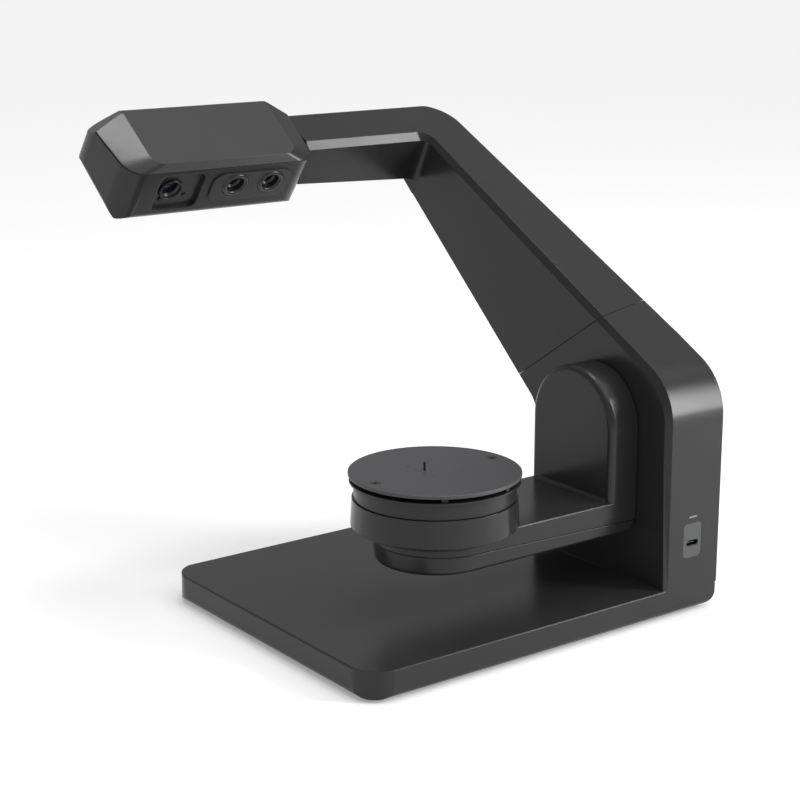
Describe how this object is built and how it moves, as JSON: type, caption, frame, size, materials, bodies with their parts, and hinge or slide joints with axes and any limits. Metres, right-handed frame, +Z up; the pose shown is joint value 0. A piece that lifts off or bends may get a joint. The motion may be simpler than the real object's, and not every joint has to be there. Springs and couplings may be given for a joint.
{
  "type": "desktop 3d scanner",
  "caption": "Desktop 3-D scanner: projector and twin-camera head on a raised arm, turntable on a tilting swing arm, flat base.",
  "frame": {"origin": "centre of the object's bounding box on the surface that it stands on", "axes": "+X along the base towards the column, +Y from the port side to the side that the head overhangs, +Z up"},
  "size_m": [0.2742, 0.278, 0.2909],
  "materials": {
    "housing_black": "satin gloss, charcoal black",
    "black_plastic": "satin black",
    "steel_plate": "black powder coat",
    "rubber": "matt",
    "screw_steel": "bright zinc",
    "cast_aluminium": "cast",
    "lens_tube": "black anodised",
    "lens_glass": "coated glass",
    "circuit_green": "solder mask",
    "brass_post": "turned",
    "port_grey": "satin grey",
    "socket_steel": "ground",
    "light_bar": "clear diffuser",
    "motor_black": "black paint",
    "belt_rubber": "matt",
    "bearing_steel": "polished",
    "pulley_aluminium": "turned",
    "platter_grey": "satin dark grey",
    "spacer_black": "matt black",
    "disc_grey": "matt mid grey"
  },
  "bodies": {
    "stand": {"lower_housing": "housing_black", "upper_cover": "housing_black", "neck_back_panel": "housing_black", "head_shell": "housing_black", "head_top_cover": "housing_black", "projector_panel": "black_plastic", "camera_frame": "black_plastic", "base_plate": "steel_plate", "rubber_feet": "rubber", "plate_screws": "screw_steel", "panel_screws": "screw_steel", "projector_screws": "screw_steel", "spine_frame": "cast_aluminium", "optics_plate": "cast_aluminium", "projector_body": "cast_aluminium", "projector_barrel": "lens_tube", "camera_barrels": "lens_tube", "projector_lens": "lens_glass", "camera_lenses": "lens_glass", "camera_board": "circuit_green", "control_board": "circuit_green", "port_board": "circuit_green", "board_standoffs": "brass_post", "port_plate": "port_grey", "data_socket": "socket_steel", "status_light": "light_bar", "tilt_motor": "motor_black", "tilt_belt": "belt_rubber", "tilt_bearings": "bearing_steel"},
    "swing": {"swing_arm": "housing_black", "swing_tray": "housing_black", "tray_screws": "screw_steel", "tilt_shaft": "socket_steel", "tilt_pulley": "pulley_aluminium", "spindle_bearings": "bearing_steel", "spin_motor": "motor_black", "spin_belt": "belt_rubber"},
    "turntable": {"platter": "platter_grey", "spindle": "socket_steel", "spindle_pulley": "pulley_aluminium", "disc_spacers": "spacer_black", "fixture_disc": "disc_grey", "disc_screws": "screw_steel", "fixture_pin": "socket_steel"},
    "tilt_drive": {"tilt_motor_pulley": "pulley_aluminium"},
    "spin_drive": {"spin_motor_pulley": "pulley_aluminium"}
  },
  "joints": [
    {"name": "tilt", "type": "hinge", "parent": "stand", "child": "swing", "pos_m": [0.09257, -0.07839, 0.1108], "axis": [-1, 0, 0], "range_deg": [-45, 90]},
    {"name": "spin", "type": "hinge", "parent": "swing", "child": "turntable", "pos_m": [-0.03043, -0.07839, 0.095], "axis": [0, 0, 1], "continuous": true},
    {"name": "tilt_drive_turn", "type": "hinge", "parent": "stand", "child": "tilt_drive", "pos_m": [0.12427, -0.07839, 0.0588], "axis": [-1, 0, 0], "range_deg": [-112.5, 225]},
    {"name": "spin_drive_turn", "type": "hinge", "parent": "swing", "child": "spin_drive", "pos_m": [0.03157, -0.07839, 0.056], "axis": [0, 0, 1], "continuous": true}
  ],
  "couplings": [
    {"joint": "tilt_drive_turn", "follows": "tilt", "ratio": 2.5},
    {"joint": "spin_drive_turn", "follows": "spin", "ratio": 2.5}
  ]
}
